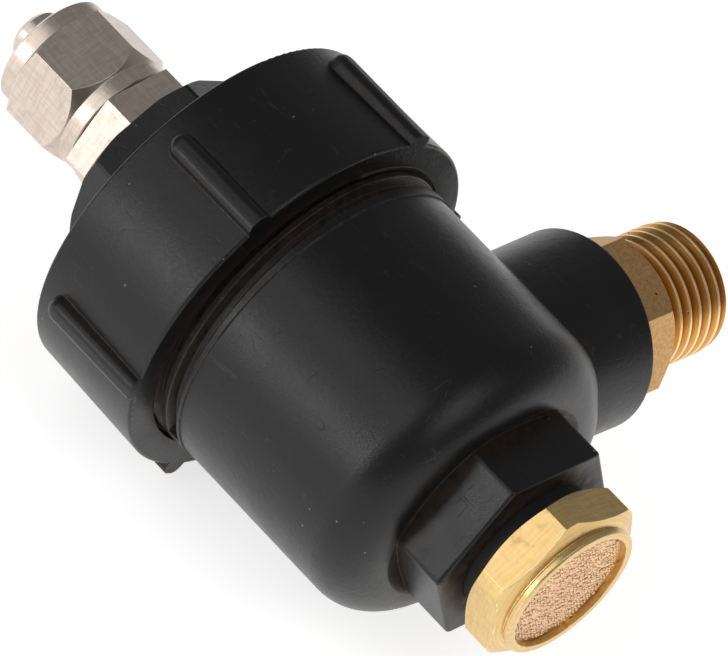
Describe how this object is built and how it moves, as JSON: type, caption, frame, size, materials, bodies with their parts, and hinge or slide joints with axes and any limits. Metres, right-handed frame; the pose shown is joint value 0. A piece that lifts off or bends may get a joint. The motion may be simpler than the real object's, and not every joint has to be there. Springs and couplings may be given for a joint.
{
  "type": "quick-exhaust valve with silencer",
  "caption": "Plastic pneumatic quick-exhaust valve: push-on tube fitting, union-nut cover, brass side outlet thread and sintered exhaust silencer.",
  "frame": {"origin": "on the outlet axis, at the shoulder where the outlet thread starts", "axes": "+Y along the outlet thread, out of the valve; +X along the main axis towards the silencer, away from the tube fitting; +Z completes the right-handed frame"},
  "size_m": [0.0776, 0.06, 0.0396],
  "materials": {
    "black_plastic": "satin moulded glass-filled nylon",
    "nickel_plate": "nickel-plated brass, turned and milled",
    "blasted_brass": "cut and sandblasted brass",
    "turned_brass": "turned brass, lightly tarnished",
    "sintered_bronze": "open sintered bronze grains",
    "black_rubber": "smooth nitrile rubber",
    "white_nylon": "natural acetal",
    "spring_steel": "drawn stainless steel",
    "strainer_mesh": "perforated stainless steel"
  },
  "bodies": {
    "housing": {"valve_body": "black_plastic", "outlet_adapter": "blasted_brass", "outlet_seal": "black_rubber", "silencer_body": "turned_brass", "silencer_washer": "black_rubber", "sintered_disc": "sintered_bronze", "exhaust_seat": "turned_brass", "seat_o_ring": "black_rubber", "return_spring": "spring_steel"},
    "cover": {"inlet_cover": "black_plastic", "cover_o_ring": "black_rubber", "inlet_strainer": "strainer_mesh", "fitting_body": "nickel_plate", "fitting_seal": "black_rubber", "slip_ring": "white_nylon"},
    "union_nut": {"union_nut": "black_plastic"},
    "tube_nut": {"tube_nut": "nickel_plate"},
    "poppet": {"poppet": "white_nylon", "cup_seal": "black_rubber", "inlet_pad": "black_rubber", "exhaust_pad": "black_rubber", "poppet_stem": "spring_steel", "stem_clip": "spring_steel"}
  },
  "joints": [
    {"name": "poppet_travel", "type": "slide", "parent": "housing", "child": "poppet", "axis": [1, 0, 0], "range_m": [0, 0.0025], "stiffness_N_per_m": 250, "springref_m": -0.004, "deforming": ["return_spring"]},
    {"name": "cover_lift", "type": "slide", "parent": "housing", "child": "cover", "axis": [-1, 0, 0], "range_m": [0, 0.01]},
    {"name": "union_nut_turn", "type": "hinge", "parent": "cover", "child": "union_nut", "pos_m": [-0.02, -0.03085, 0], "axis": [-1, 0, 0], "range_deg": [0, 1801]},
    {"name": "tube_nut_turn", "type": "hinge", "parent": "cover", "child": "tube_nut", "pos_m": [-0.045, -0.03085, 0], "axis": [-1, 0, 0], "range_deg": [0, 360]}
  ],
  "couplings": [
    {"joint": "union_nut_turn", "follows": "cover_lift", "rad_per_m": 3141.6}
  ]
}
